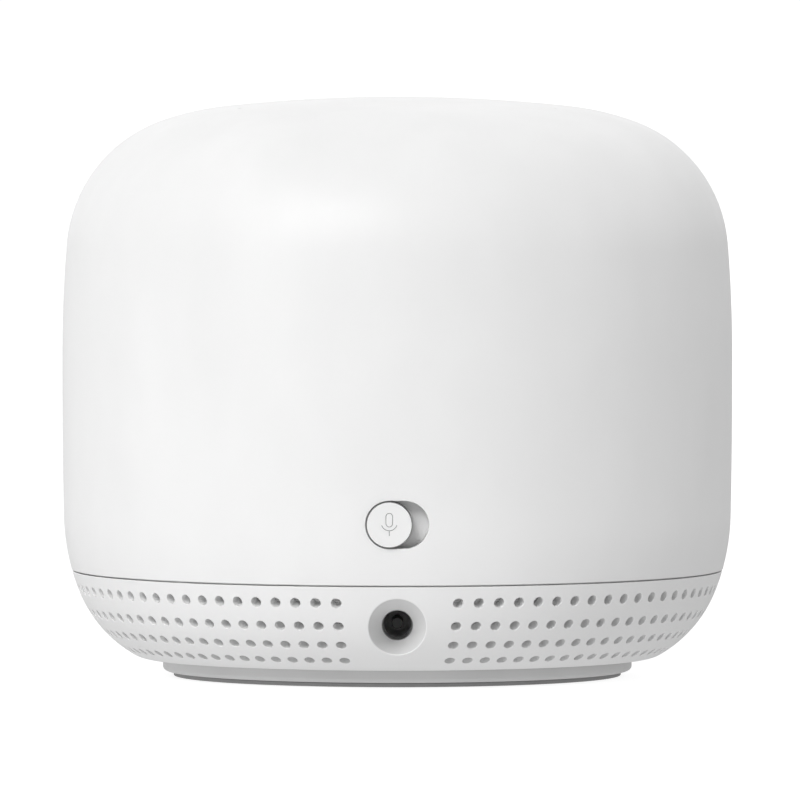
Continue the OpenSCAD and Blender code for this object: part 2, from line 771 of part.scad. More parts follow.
// Orange film that shows beside the knob when the microphones are off
module mute_indicator() {
    color("darkorange") translate([knob_x, 0, slider_z])
        block(0.6 - plate_w, -3.7, plate_y, plate_y + 0.1, 0.6 - plate_h, plate_h - 0.6);
}

module slide_guide() {
    color("gray") translate([0, 0, slider_z]) difference() {
        union() {
            block(-8.8, 8.8, plate_back + 0.2, plate_back + 1.4, -5.2, 5.2);
            for (s = [-1, 1]) {
                block(-8.8, 8.8, plate_y, plate_back + 0.3, s * 4.8 - 0.4, s * 4.8 + 0.4);
                block(s * 8.4 - 0.4, s * 8.4 + 0.4, plate_y, plate_back + 0.3, -5.2, 5.2);
                block(s * 8 - 0.8, s * 8 + 0.8, plate_back + 1.3, switch_y, -4, 4);
            }
        }
        block(-5.2, 5.2, plate_back - 0.3, plate_back + 1.7, -2.2, 2.2);
    }
}

module switch_lever() {
    color("black") translate([knob_x, 0, slider_z])
        block(-0.75, 0.75, plate_back + 0.2, switch_y - 1.6, -0.75, 0.75);
}

module mute_switch() {
    color("silver") translate([0, 0, slider_z]) difference() {
        block(-4.6, 4.6, switch_y - 3.5, switch_y, -1.9, 1.9);
        block(-2.2, 2.2, switch_y - 4.8, switch_y - 1.3, -0.95, 0.95);
    }
}

module switch_board() {
    color("darkgreen") block(-11, 11, switch_y, switch_y + 1, 18, 33);
}

module switch_flex() {
    color("orange") ribbon([[-40.05, 27], [-40.05, 42], [-39.6, 45.5], [-38, 47.6], [-35.2, 48.9],
        [-35.2, 49.2]], 6, 0.2);
}

top_shell();
base_shell();
light_ring();
base_plate();
foot_pad();
rating_label();
reset_button();
reset_stem();
reset_switch();
grille_cloth();
light_board();
dc_jack();
jack_contacts();
power_board();
power_parts();
power_cable();
acoustic_deflector();
deflector_screws();
base_screws();
speaker_box();
speaker_lid();
acoustic_foam();
speaker_gasket();
speaker_basket();
speaker_surround();
speaker_cone();
dust_cap();
voice_coil();
speaker_spider();
pole_plate();
speaker_magnet();
speaker_yoke();
speaker_wires();
speaker_screws();
isolators();
box_screws();
inner_frame();
frame_screws();
main_board();
board_parts();
chips();
radio_shields();
thermal_pads();
heat_sink();
heat_sink_screws();
antennas();
antenna_leads();
touch_board();
touch_flex();
mic_boards();
mic_gaskets();
mute_knob();
mute_carrier();
mute_indicator();
slide_guide();
switch_lever();
mute_switch();
switch_board();
switch_flex();
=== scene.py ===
"""Looks for a round mesh router: plain upper casing, perforated base, mute slider, power inlet."""
import json
import math

import bpy
import numpy as np
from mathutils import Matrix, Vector


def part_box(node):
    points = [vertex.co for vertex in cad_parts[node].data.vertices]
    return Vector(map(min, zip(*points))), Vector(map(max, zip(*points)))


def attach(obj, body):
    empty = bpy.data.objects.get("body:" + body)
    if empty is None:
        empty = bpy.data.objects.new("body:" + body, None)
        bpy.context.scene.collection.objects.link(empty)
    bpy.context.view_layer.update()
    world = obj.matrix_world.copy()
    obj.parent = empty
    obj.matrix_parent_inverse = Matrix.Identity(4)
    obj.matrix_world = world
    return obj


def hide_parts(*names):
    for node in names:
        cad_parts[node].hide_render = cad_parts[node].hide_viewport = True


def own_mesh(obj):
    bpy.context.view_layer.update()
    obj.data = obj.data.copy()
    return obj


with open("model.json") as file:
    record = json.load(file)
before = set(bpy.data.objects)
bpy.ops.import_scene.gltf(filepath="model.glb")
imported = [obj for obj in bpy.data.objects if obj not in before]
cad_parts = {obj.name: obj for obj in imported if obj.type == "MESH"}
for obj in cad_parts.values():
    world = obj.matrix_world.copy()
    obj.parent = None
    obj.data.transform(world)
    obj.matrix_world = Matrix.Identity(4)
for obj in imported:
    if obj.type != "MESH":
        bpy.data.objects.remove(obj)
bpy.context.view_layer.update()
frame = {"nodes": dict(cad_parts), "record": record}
MM = 0.001


# ---------------------------------------------------------------- sizes, in millimetres
def corners(node):
    """Lowest and highest corners of a CAD node."""
    low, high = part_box(node)
    return Vector(low) / MM, Vector(high) / MM


TOP_LOW, TOP_HIGH = corners("top_shell")
BASE_LOW, BASE_HIGH = corners("base_shell")
FOOT_HIGH = corners("foot_pad")[1]
LIGHT_LOW, LIGHT_HIGH = corners("light_ring")
KNOB_LOW, KNOB_HIGH = corners("mute_knob")
JACK_LOW, JACK_HIGH = corners("dc_jack")

BODY_R, BODY_H = TOP_HIGH.x, TOP_HIGH.z
WIDEST_Z = 46.1
TOP_WALL, BASE_WALL = 2.2, 1.8
EDGE = 0.14  # rounding of the two edges at the seam

# The seam's gap has a shallow step behind it, and the base's lip stands inside the upper casing
SEAM_GAP, STEP_RISE = 0.22, 0.17
SEAM_TOP = TOP_LOW.z
SEAM_BOTTOM = SEAM_TOP - SEAM_GAP
STEP_R, STEP_Z = 48.6, SEAM_BOTTOM + STEP_RISE
LIP_R, LIP_WALL, LIP_TOP, LIP_FOOT = 47.0, 1.1, BASE_HIGH.z, SEAM_BOTTOM - 0.8

# The base's opening for the light ring, and the flange above it
RIM_R, RIM_Z, RIM_EDGE = 35.9, BASE_LOW.z, 0.2
FLANGE_Z, FLANGE_TOP, FLANGE_BORE_R, FLANGE_R = 6.0, 7.5, 24, 36.6

# The outline is a chain of tangent arcs: radius, and the direction of the normal at each end
CROWN = [(244, 90, 83.66), (40.1, 83.66, 70), (21.5, 70, 4.7)]
BOWL = [(1100, 0, -1.13), (33, -1.13, -21.8), (19.2, -21.8, -59.9), (4.6, -59.9, -80)]

# Sound holes: their rows lie at even slopes of the bowl, and the inlet takes the place between the
# first hole and the last. Each hole has a window of CELL by CELL faces in the casing's grid.
HOLE_R, HOLE_EDGE, HOLES, HOLE_ROWS = 0.8, 0.1, 91, 4
ROW_SLOPES = [20.7 + 11.15 * row for row in range(HOLE_ROWS)]
FIRST_HOLE = 10.9
HOLE_STEP = (360 - 2 * FIRST_HOLE) / (HOLES - 1)
CELL = 6

# The power inlet's funnel, the slider's slot and the microphone holes
INLET_Z, INLET_R, INLET_RIM_R = 9.9, 2.28, 4.4
INLET_RIM_Y, INLET_HOLE_Y, INLET_DROP, INLET_TILT = -46.26, -42.7, -0.13, 32.6
SLOT_Z = (KNOB_LOW.z + KNOB_HIGH.z) / 2
SLOT_W, SLOT_H, SLOT_EDGE = 9.54, 7.15, 0.16
POCKET_W, POCKET_H, POCKET_Y = 9.2, 5.5, -48.1
MIC_X, MIC_Y, MIC_R, MIC_EDGE = 24.0, -9.0, 0.4, 0.06

# The studio's light: its level and lean above and below, a soft fill from the right, and a
# round key light in front, above and to the left
SKY_LIGHT = (0.579, (0.078, 0.498, 0.135))
FLOOR_LIGHT = (0.707, (-0.259, -0.313, 0.0))
FILL_EDGE, FILL_LEVEL = 0.2, 0.333
KEY_WAY, KEY_HALF, KEY_LEVEL = (-0.3766, -0.6937, 0.6144), 15, 8.1

# Whites and greys of the visible plastics
WHITE = (0.86, 0.86, 0.86)
BASE_WHITE = (0.85, 0.85, 0.85)
GUIDE_GREY = (0.60, 0.60, 0.60)
FOOT_GREY = (0.27, 0.27, 0.27)


# ---------------------------------------------------------------- the outline
def unit(degrees):
    """Unit vector in the radius and height plane."""
    a = math.radians(degrees)
    return np.array([math.cos(a), math.sin(a)])


def outline():
    """Radius, height and normal direction of the casing, with the length down from the pole."""
    rows = []

    def arc(start, radius, first, last):
        centre = start - radius * unit(first)
        for a in np.linspace(first, last, 400):
            rows.append((*(centre + radius * unit(a)), a))
        return centre + radius * unit(last)

    point = np.array([0.0, BODY_H])
    for step in CROWN:
        point = arc(point, *step)
    side = CROWN[-1][2]
    arc(point, (BODY_R - point[0]) / (1 - math.cos(math.radians(side))), side, 0)
    point = np.array([BODY_R, WIDEST_Z])
    for step in BOWL:
        point = arc(point, *step)
    r, z, a = np.array(rows).T
    s = np.concatenate([[0], np.cumsum(np.hypot(np.diff(r), np.diff(z)) + 1e-9)])
    return s, r, z, a


LINE_S, LINE_R, LINE_Z, LINE_A = outline()


def s_at_height(z):
    """Length down the outline at a height."""
    return np.interp(-np.asarray(z, float), -LINE_Z, LINE_S)


def s_at_slope(a):
    """Length down the outline where the normal points at an angle above level."""
    return float(np.interp(-a, -LINE_A, LINE_S))


def s_at_radius(r):
    """Length down the outline at a radius of the crown."""
    crown = LINE_A > 1
    return float(np.interp(r, LINE_R[crown], LINE_S[crown]))


def round_z(azimuth):
    """Outward direction at an azimuth."""
    a = np.radians(azimuth)
    return np.stack([np.cos(a), np.sin(a), np.zeros_like(a)], axis=-1)


def place(azimuth, s, depth=0.0):
    """Points on the casing, moved in by a depth, and the outward normals there."""
    azimuth, s = np.broadcast_arrays(np.asarray(azimuth, float), np.asarray(s, float))
    r, z, a = (np.interp(s, LINE_S, c) for c in (LINE_R, LINE_Z, np.radians(LINE_A)))
    normal = round_z(azimuth) * np.cos(a)[..., None]
    normal[..., 2] = np.sin(a)
    point = round_z(azimuth) * r[..., None]
    point[..., 2] = z
    return point - depth * normal, normal


def front(x, z):
    """Azimuth and length of the casing's point seen at x, z from the front."""
    s = s_at_height(z)
    r = np.interp(s, LINE_S, LINE_R)
    return -90 + np.degrees(np.arcsin(x / r)), s


def ring(r, z, azimuths):
    """Points of a level circle."""
    point = round_z(azimuths) * r
    point[..., 2] = z
    return point


def normed(v):
    """Vectors brought to length one."""
    return v / np.maximum(np.linalg.norm(v, axis=-1, keepdims=True), 1e-12)


def spans(*stops):
    """Evenly spaced values through a list of value, count, value, count ... value."""
    out = []
    for a, n, b in zip(stops[0:-2:2], stops[1::2], stops[2::2]):
        out.extend(np.linspace(a, b, n, endpoint=False))
    return np.array(out + [stops[-1]])


def nearest(values, x):
    """Index of the value nearest to x."""
    return int(np.argmin(np.abs(np.asarray(values) - x)))


# ---------------------------------------------------------------- mesh building
class Skin:
    """Collects points with normals and faces, then makes one welded mesh."""

    def __init__(self):
        self.points, self.normals, self.faces, self.paints = [], [], [], []

    def add(self, points, normals):
        """Adds points and returns their indices."""
        points = np.atleast_2d(points)
        first = len(self.points)
        self.points.extend(points)
        self.normals.extend(np.broadcast_to(normals, points.shape))
        return np.arange(first, first + len(points))

    def bridge(self, a, b, paint=0):
        """A band of faces between two rings of points."""
        n = len(a)
        for i in range(n):
            j = (i + 1) % n
            self.faces.append((a[i], a[j], b[j], b[i]))
            self.paints.append(paint)

    def strip(self, points_a, points_b, normals):
        """A band with its own flat normals, so that it meets its neighbours in crisp edges."""
        a, b = self.add(points_a, normals), self.add(points_b, normals)
        self.bridge(a, b)
        return b

    def cap(self, loop, centre, normal):
        """A fan of faces from a ring to its centre."""
        middle = self.add(centre, normal)[0]
        for i in range(len(loop)):
            self.faces.append((loop[i], loop[(i + 1) % len(loop)], middle))
            self.paints.append(0)

    def edge(self, loop, corner, before, after, n0, n1, radius, steps=4, paint=0):
        """Rounds a corner: the loop lies one radius before it, and the last ring one after."""
        for t in np.linspace(0, 1, steps + 1)[1:]:
            point = ((1 - t) ** 2 * (corner - before * radius) + 2 * t * (1 - t) * corner
                     + t * t * (corner + after * radius))
            band = self.add(point, normed((1 - t) * n0 + t * n1))
            self.bridge(loop, band, paint)
            loop = band
        return loop

    def grid(self, azimuths, rows, depth=0.0, windows=(), shape=None):
        """The casing's surface over azimuths and lengths, with some windows left open."""
        az, s = np.meshgrid(azimuths, rows, indexing="ij")
        point, normal = place(az.ravel(), s.ravel(), depth)
        if shape:
            point = shape(point)
        ids = self.add(point, normal if depth == 0 else -normal).reshape(az.shape)
        n = len(azimuths)
        shut = np.zeros((n, len(rows) - 1), bool)
        for i0, i1, j0, j1 in windows:
            for i in range(i0, i1):
                shut[i % n, j0:j1] = True
        for i in range(n):
            for j in range(len(rows) - 1):
                if not shut[i, j]:
                    k = (i + 1) % n
                    self.faces.append((ids[i, j], ids[k, j], ids[k, j + 1], ids[i, j + 1]))
                    self.paints.append(0)
        return ids

    def make(self, name, *materials):
        """Welds the points, turns each face to agree with its normals and makes the object."""
        points = np.array(self.points)
        normals = np.array(self.normals)
        _, first, same = np.unique(np.round(points, 4), axis=0, return_index=True,
                                   return_inverse=True)
        same = same.ravel()
        faces, corners_n, paints = [], [], []
        for face, paint in zip(self.faces, self.paints):
            keep = [i for k, i in enumerate(face) if same[i] != same[face[k - 1]]]
            if len(keep) < 3:
                continue
            p = points[keep]
            across = np.cross(p[1] - p[0], p[2] - p[0])
            if len(keep) == 4:
                across = np.cross(p[2] - p[0], p[3] - p[1])
            if across @ normals[keep].sum(axis=0) < 0:
                keep.reverse()
            faces.append([int(same[i]) for i in keep])
            corners_n.extend(normals[keep])
            paints.append(paint)
        mesh = bpy.data.meshes.new(name)
        mesh.from_pydata([tuple(p) for p in points[first] * MM], [], faces)
        for m in materials:
            mesh.materials.append(m)
        mesh.polygons.foreach_set("material_index", paints)
        mesh.shade_smooth()
        mesh.update()
        mesh.normals_split_custom_set([tuple(n) for n in corners_n])
        piece = bpy.data.objects.new(name, mesh)
        bpy.context.scene.collection.objects.link(piece)
        return piece


def window_ring(ids, azimuths, rows, window):
    """Indices, azimuths and lengths round a window, clockwise from its upper left corner."""
    i0, i1, j0, j1 = window
    n = len(azimuths)
    path = ([(i, j0) for i in range(i0, i1)] + [(i1, j) for j in range(j0, j1)]
            + [(i, j1) for i in range(i1, i0, -1)] + [(i0, j) for j in range(j1, j0, -1)])
    around = np.array([azimuths[i % n] + 360 * (i // n) for i, _ in path])
    return np.array([ids[i % n, j] for i, j in path]), around, rows[[j for _, j in path]]


def corner_angles(across, down):
    """Directions of points round a window, its corners at 45 degrees to the axes."""
    return np.concatenate([np.linspace(a, a - 90, n, endpoint=False) for a, n in
                           ((135, across), (45, down), (-45, across), (-135, down))])


def opening(skin, ids, azimuths, rows, window, shape, rounding, inward, wall_normal, rings=3):
    """Fills a window down to a shaped hole with a rounded edge. Returns its last ring."""
    loop, az, s = window_ring(ids, azimuths, rows, window)
    az1, s1 = shape(rounding, az, s)
    az1 = az1 + 360 * np.round((az - az1) / 360)
    for t in np.linspace(0, 1, rings + 1)[1:]:
        point, normal = place(az + (az1 - az) * t, s + (s1 - s) * t)
        band = skin.add(point, normal)
        skin.bridge(loop, band)
        loop = band
    corner = place(*shape(0.0, az, s))[0]
    start, n0 = place(az1, s1)
    gap = np.linalg.norm(corner - start, axis=1).mean()
    after, n1 = inward(corner), wall_normal(corner)
    return skin.edge(loop, corner, normed(corner - start), after, n0, n1, gap), corner


# ---------------------------------------------------------------- materials
def node_material(name, colour, roughness, **uniform):
    """A material with its shader set to plain values, ready for patterns to be linked in."""
    mat = bpy.data.materials.new(name)
    mat.use_nodes = True
    tree = mat.node_tree
    shader = tree.nodes["Principled BSDF"]
    shader.inputs["Base Color"].default_value = (*colour, 1)
    shader.inputs["Roughness"].default_value = roughness
    for socket, value in uniform.items():
        shader.inputs[socket.replace("_", " ")].default_value = value
    return mat, tree, shader


def new(tree, kind, **values):
    """A shader node with settings in lower case and socket values with a capital."""
    node = tree.nodes.new("ShaderNode" + kind)
    for key, value in values.items():
        if hasattr(node, key) and not key[0].isupper():
            setattr(node, key, value)
        else:
            node.inputs[key.replace("_", " ")].default_value = value
    return node


def place_at(tree, scale=(1, 1, 1)):
    """Object coordinates in millimetres, stretched."""
    coords = new(tree, "TexCoord")
    mapping = new(tree, "Mapping", Scale=tuple(k / MM for k in scale))
    tree.links.new(coords.outputs["Object"], mapping.inputs["Vector"])
    return mapping.outputs[0]


def noise(tree, where, scale, detail=3.0, rough=0.5):
    """Cloudy noise at so many cells a millimetre."""
    node = new(tree, "TexNoise", Scale=scale, Detail=detail, Roughness=rough)
    tree.links.new(where, node.inputs["Vector"])
    return node.outputs["Fac"]


def ramp(tree, value, *stops):
    """A colour ramp from (position, colour or grey) stops."""
    node = tree.nodes.new("ShaderNodeValToRGB")
    bar = node.color_ramp.elements
    while len(bar) < len(stops):
        bar.new(0.5)
    for element, (at, colour) in zip(bar, stops):
        element.position = at
        grey = isinstance(colour, (int, float))
        element.color = (colour, colour, colour, 1) if grey else (*colour, 1)
    tree.links.new(value, node.inputs[0])
    return node.outputs[0]


def spread(tree, value, low, high, start=0.3, stop=0.7):
    """A value between start and stop spread over low to high."""
    node = new(tree, "MapRange")
    for key, v in (("From Min", start), ("From Max", stop), ("To Min", low), ("To Max", high)):
        node.inputs[key].default_value = v
    tree.links.new(value, node.inputs["Value"])
    return node.outputs["Result"]


def bumped(tree, shader, *layers):
    """Chains bump layers of (height, depth in millimetres) into the shader's normal."""
    last = None
    for height, depth in layers:
        bump = new(tree, "Bump", Distance=depth * MM)
        tree.links.new(height, bump.inputs["Height"])
        if last:
            tree.links.new(last, bump.inputs["Normal"])
        last = bump.outputs[0]
    tree.links.new(last, shader.inputs["Normal"])


def shade(colour, k):
    """A colour made k times as bright."""
    return tuple(min(1.0, c * k) for c in colour)


def plastic(name, colour, rough=0.5, grain=0.012, size=0.32, mottle=0.03, **uniform):
    """Moulded plastic: spark-eroded grain, faint flow marks and uneven gloss."""
    mat, tree, shader = node_material(name, colour, rough, **uniform)
    where = place_at(tree)
    flow = noise(tree, place_at(tree, (1, 1, 0.6)), 0.06, 2)
    fine = noise(tree, where, 1 / size, 4, 0.6)
    cloud = noise(tree, where, 0.5, 3)
    tint = ramp(tree, flow, (0.3, shade(colour, 1 - mottle)), (0.7, shade(colour, 1 + mottle / 3)))
    tree.links.new(tint, shader.inputs["Base Color"])
    tree.links.new(spread(tree, cloud, rough - 0.05, rough + 0.06), shader.inputs["Roughness"])
    bumped(tree, shader, (fine, grain), (cloud, grain * 1.5))
    return mat


def rubber(name, colour, rough=0.75, pore=0.02):
    """Soft rubber or cell foam: pores, dust and a dull bloom."""
    mat, tree, shader = node_material(name, colour, rough)
    where = place_at(tree)
    pores = new(tree, "TexVoronoi", Scale=2.6)
    tree.links.new(where, pores.inputs["Vector"])
    bloom = noise(tree, where, 0.35, 5, 0.65)
    tint = ramp(tree, bloom, (0.3, shade(colour, 0.92)), (0.75, shade(colour, 1.08)))
    tree.links.new(tint, shader.inputs["Base Color"])
    tree.links.new(spread(tree, bloom, rough - 0.1, min(1, rough + 0.12)),
                   shader.inputs["Roughness"])
    bumped(tree, shader, (pores.outputs["Distance"], pore), (bloom, pore))
    return mat


def metal(name, colour, rough=0.32, along=(1, 1, 12), scratch=0.004):
    """Plated or cast metal: drawn lines one way, cloudy plating, small scratches."""
    mat, tree, shader = node_material(name, colour, rough, Metallic=1.0)
    lines = noise(tree, place_at(tree, along), 1.6, 5, 0.7)
    cloud = noise(tree, place_at(tree), 0.4, 4)
    tint = ramp(tree, cloud, (0.3, shade(colour, 0.82)), (0.7, shade(colour, 1.06)))
    tree.links.new(tint, shader.inputs["Base Color"])
    tree.links.new(spread(tree, lines, rough - 0.1, rough + 0.16), shader.inputs["Roughness"])
    bumped(tree, shader, (lines, scratch), (cloud, scratch * 2))
    return mat


def circuit(name, mask=(0.015, 0.12, 0.05), copper=(0.05, 0.24, 0.1), pitch=1.6):
    """Circuit board: copper tracks under solder mask, vias and bare pads."""
    mat, tree, shader = node_material(name, mask, 0.32, Coat_Weight=0.4, Coat_Roughness=0.15)
    where = place_at(tree)
    cells = new(tree, "TexVoronoi", Scale=1 / pitch, distance="CHEBYCHEV", Randomness=0.85,
                feature="F1")
    tree.links.new(where, cells.inputs["Vector"])
    tracks = new(tree, "TexBrick", Scale=1 / pitch, Mortar_Size=0.13, Mortar_Smooth=0.05,
                 Brick_Width=2.2, Row_Height=0.42, offset=0.37, squash=1.4,
                 Color1=(0, 0, 0, 1), Color2=(0, 0, 0, 1), Mortar=(1, 1, 1, 1))
    tree.links.new(where, tracks.inputs["Vector"])
    via = ramp(tree, cells.outputs["Distance"], (0.13, 1.0), (0.16, 0.0))
    line = new(tree, "MixRGB", blend_type="MIX")
    line.inputs[1].default_value = (*mask, 1)
    line.inputs[2].default_value = (*copper, 1)
    tree.links.new(tracks.outputs["Color"], line.inputs[0])
    pads = new(tree, "MixRGB", blend_type="MIX")
    pads.inputs[2].default_value = (0.62, 0.58, 0.48, 1)
    tree.links.new(via, pads.inputs[0])
    tree.links.new(line.outputs[0], pads.inputs[1])
    tree.links.new(pads.outputs[0], shader.inputs["Base Color"])
    tree.links.new(spread(tree, via, 0.34, 0.22, 0, 1), shader.inputs["Roughness"])
    bumped(tree, shader, (tracks.outputs["Color"], 0.02), (via, 0.03))
    return mat


def woven(name, warp, weft, pitch=0.35, rough=0.85, depth=0.05):
    """Plain weave of two threads, with slubs and a soft sheen."""
    mat, tree, shader = node_material(name, warp, rough, Sheen_Weight=0.2, Sheen_Roughness=0.5)
    where = place_at(tree)
    waves = []
    for axis in ("X", "Y", "Z"):
        wave = new(tree, "TexWave", wave_type="BANDS", bands_direction=axis,
                   Scale=math.pi / pitch / 10, Distortion=0.6, Detail=1.0, Detail_Scale=2.0)
        tree.links.new(where, wave.inputs["Vector"])
        waves.append(wave.outputs["Fac"])
    cross = new(tree, "Math", operation="MULTIPLY")
    tree.links.new(waves[0], cross.inputs[0])
    tree.links.new(waves[1], cross.inputs[1])
    top = new(tree, "Math", operation="MAXIMUM")
    tree.links.new(cross.outputs[0], top.inputs[0])
    tree.links.new(waves[2], top.inputs[1])
    slub = noise(tree, where, 0.8, 4, 0.6)
    threads = new(tree, "MixRGB", blend_type="MIX")
    threads.inputs[1].default_value = (*shade(weft, 0.5), 1)
    threads.inputs[2].default_value = (*warp, 1)
    tree.links.new(top.outputs[0], threads.inputs[0])
    worn = new(tree, "MixRGB", blend_type="MULTIPLY")
    worn.inputs[0].default_value = 0.5
    tree.links.new(threads.outputs[0], worn.inputs[1])
    tree.links.new(ramp(tree, slub, (0.3, 0.7), (0.7, 1.0)), worn.inputs[2])
    tree.links.new(worn.outputs[0], shader.inputs["Base Color"])
    tree.links.new(spread(tree, slub, rough - 0.1, min(1, rough + 0.1)),
                   shader.inputs["Roughness"])
    bumped(tree, shader, (top.outputs[0], depth), (slub, depth / 2))
    return mat


def banded(name, colour, dark, pitch=0.3, axis="Z", rough=0.35, metallic=0.0, depth=0.04):
    """Even turns or lines one way, such as coil wire or the tracks in a film."""
    mat, tree, shader = node_material(name, colour, rough, Metallic=metallic)
    where = place_at(tree)
    wave = new(tree, "TexWave", wave_type="BANDS", bands_direction=axis,
               Scale=math.pi / pitch / 10, Distortion=0.15, Detail=2.0)
    tree.links.new(where, wave.inputs["Vector"])
    cloud = noise(tree, where, 0.6, 4)
    lines = ramp(tree, wave.outputs["Fac"], (0.2, dark), (0.6, colour))
    mixed = new(tree, "MixRGB", blend_type="MULTIPLY")
    mixed.inputs[0].default_value = 0.4
    tree.links.new(lines, mixed.inputs[1])
    tree.links.new(ramp(tree, cloud, (0.3, 0.7), (0.7, 1.0)), mixed.inputs[2])
    tree.links.new(mixed.outputs[0], shader.inputs["Base Color"])
    tree.links.new(spread(tree, cloud, rough - 0.08, rough + 0.12), shader.inputs["Roughness"])
    bumped(tree, shader, (wave.outputs["Fac"], depth), (cloud, depth / 3))
    return mat


def foam(name, colour, cell=0.9, depth=0.35, rough=0.95):
    """Open cells, or the speckle of sintered or pressed stuff when they are small."""
    mat, tree, shader = node_material(name, colour, rough)
    where = place_at(tree)
    cells = new(tree, "TexVoronoi", Scale=1 / cell, feature="F1")
    tree.links.new(where, cells.inputs["Vector"])
    dust = noise(tree, where, 0.7, 6, 0.7)
    tint = ramp(tree, cells.outputs["Distance"], (0.05, shade(colour, 0.45)),
                (0.4, colour), (0.8, shade(colour, 1.25)))
    tree.links.new(tint, shader.inputs["Base Color"])
    tree.links.new(spread(tree, dust, rough - 0.1, min(1, rough + 0.05)),
                   shader.inputs["Roughness"])
    bumped(tree, shader, (cells.outputs["Distance"], depth), (dust, depth / 4))
    return mat


def make_materials():
    """Every material by name: first the record's slots, then finishes and painted shades that one
    piece needs.
    """
    steel, black = (0.62, 0.62, 0.63), (0.02, 0.02, 0.021)
    return {
        "casing_white": plastic("casing_white", WHITE, 0.46),
        "casing_base": plastic("casing_base", BASE_WHITE, 0.5),
        "light_guide": plastic("light_guide", GUIDE_GREY, 0.4, 0.006, 0.2, 0.05,
                               Subsurface_Weight=0.25, Subsurface_Scale=0.0015,
                               Subsurface_Radius=(1, 1, 1)),
        "plate_grey": plastic("plate_grey", (0.36, 0.36, 0.36), 0.5, 0.02),
        "foot_rubber": rubber("foot_rubber", FOOT_GREY, 0.7),
        "label_film": plastic("label_film", (0.45, 0.45, 0.46), 0.4, 0.004, 0.3),
        "button_grey": plastic("button_grey", (0.14, 0.14, 0.14), 0.45),
        "switch_steel": metal("switch_steel", (0.7, 0.69, 0.66), 0.3),
        "grille_fabric": woven("grille_fabric", (0.94, 0.94, 0.94), (0.9, 0.9, 0.9), 0.3),
        "board_green": circuit("board_green"),
        "black_plastic": plastic("black_plastic", (0.04, 0.04, 0.042), 0.42, 0.01, 0.2, 0.2),
        "contact_metal": metal("contact_metal", (0.78, 0.75, 0.66), 0.22, (12, 12, 1)),
        "component_dark": plastic("component_dark", (0.03, 0.03, 0.032), 0.5, 0.02, 0.15, 0.3),
        "cable_black": rubber("cable_black", black, 0.5, 0.01),
        "deflector_grey": plastic("deflector_grey", (0.05, 0.05, 0.052), 0.5, 0.03),
        "screw_steel": metal("screw_steel", steel, 0.28, (1, 1, 14)),
        "box_grey": plastic("box_grey", (0.03, 0.03, 0.032), 0.55, 0.05, 0.5, 0.15),
        "foam_cream": foam("foam_cream", (0.6, 0.54, 0.36)),
        "gasket_black": foam("gasket_black", (0.015, 0.015, 0.015), 0.3, 0.05, 0.85),
        "basket_metal": plastic("basket_metal", (0.012, 0.012, 0.013), 0.35, 0.03, 0.6,
                                0.2, Coat_Weight=0.3),
        "surround_rubber": rubber("surround_rubber", (0.012, 0.012, 0.012), 0.55),
        "cone_paper": foam("cone_paper", (0.03, 0.03, 0.03), 0.5, 0.05, 0.8),
        "coil_copper": banded("coil_copper", (0.72, 0.34, 0.16), (0.3, 0.1, 0.04), 0.28,
                              "Z", 0.3, 1.0),
        "spider_cloth": woven("spider_cloth", (0.5, 0.3, 0.1), (0.3, 0.16, 0.05), 0.4),
        "plate_steel": metal("plate_steel", (0.56, 0.57, 0.6), 0.35, (1, 1, 6)),
        "ferrite_black": foam("ferrite_black", (0.035, 0.035, 0.038), 0.2, 0.03, 0.6),
        "wire_insulation": banded("wire_insulation", (0.4, 0.02, 0.015), (0.03, 0.02, 0.02),
                                  1.6, "Y", 0.4, 0.0, 0.01),
        "frame_plastic": plastic("frame_plastic", (0.55, 0.55, 0.55), 0.5, 0.03, 0.4),
        "shield_metal": metal("shield_metal", (0.68, 0.67, 0.64), 0.3, (10, 1, 1)),
        "pad_blue": foam("pad_blue", (0.16, 0.26, 0.42), 0.3, 0.04, 0.8),
        "sink_aluminium": metal("sink_aluminium", (0.6, 0.61, 0.63), 0.42, (1, 8, 1)),
        "antenna_board": circuit("antenna_board", (0.02, 0.1, 0.05), (0.07, 0.26, 0.12), 2.6),
        "flex_amber": banded("flex_amber", (0.5, 0.22, 0.03), (0.25, 0.09, 0.01), 0.5, "X",
                             0.3, 0.0, 0.02),
        "knob_white": plastic("knob_white", WHITE, 0.42, 0.008, 0.25),
        "carrier_grey": plastic("carrier_grey", WHITE, 0.5, 0.01),
        "mute_orange": plastic("mute_orange", (0.85, 0.14, 0.01), 0.45, 0.006, 0.3, 0.08),
        "chip_black": plastic("chip_black", (0.018, 0.018, 0.02), 0.55, 0.02, 0.1, 0.3),
        "bobbin_black": foam("bobbin_black", (0.02, 0.02, 0.02), 0.35, 0.04, 0.75),
        "knob_sign": plastic("knob_sign", (0.36, 0.36, 0.36), 0.5),
        # Painted shade: dark grey for the knob's side and the outer edge of its rounding, where
        # the gap round the knob falls into shade.
        "knob_side": plastic("knob_side", (0.2, 0.2, 0.2), 0.55, 0.01, 0.2),
        # Painted shade: the sound holes' walls, a little darker and duller than the casing.
        "hole_grey": plastic("hole_grey", (0.83, 0.83, 0.83), 0.6, 0.02, 0.2),
        # Painted shade: the funnel round the power inlet, darker than the casing.
        "funnel_white": plastic("funnel_white", (0.7, 0.7, 0.7), 0.55),
        # Painted shade: the bore's wall behind the funnel, dark grey.
        "bore_dark": plastic("bore_dark", (0.36, 0.36, 0.36), 0.6, 0.02, 0.2, 0.1),
        "socket_lip": plastic("socket_lip", (0.3, 0.3, 0.3), 0.6, 0.02, 0.2, 0.1),
        "socket_inside": plastic("socket_inside", (0.9, 0.9, 0.9), 0.6, 0.02, 0.2, 0.1),
        "dark_contact": metal("dark_contact", (0.07, 0.07, 0.07), 0.5),
    }


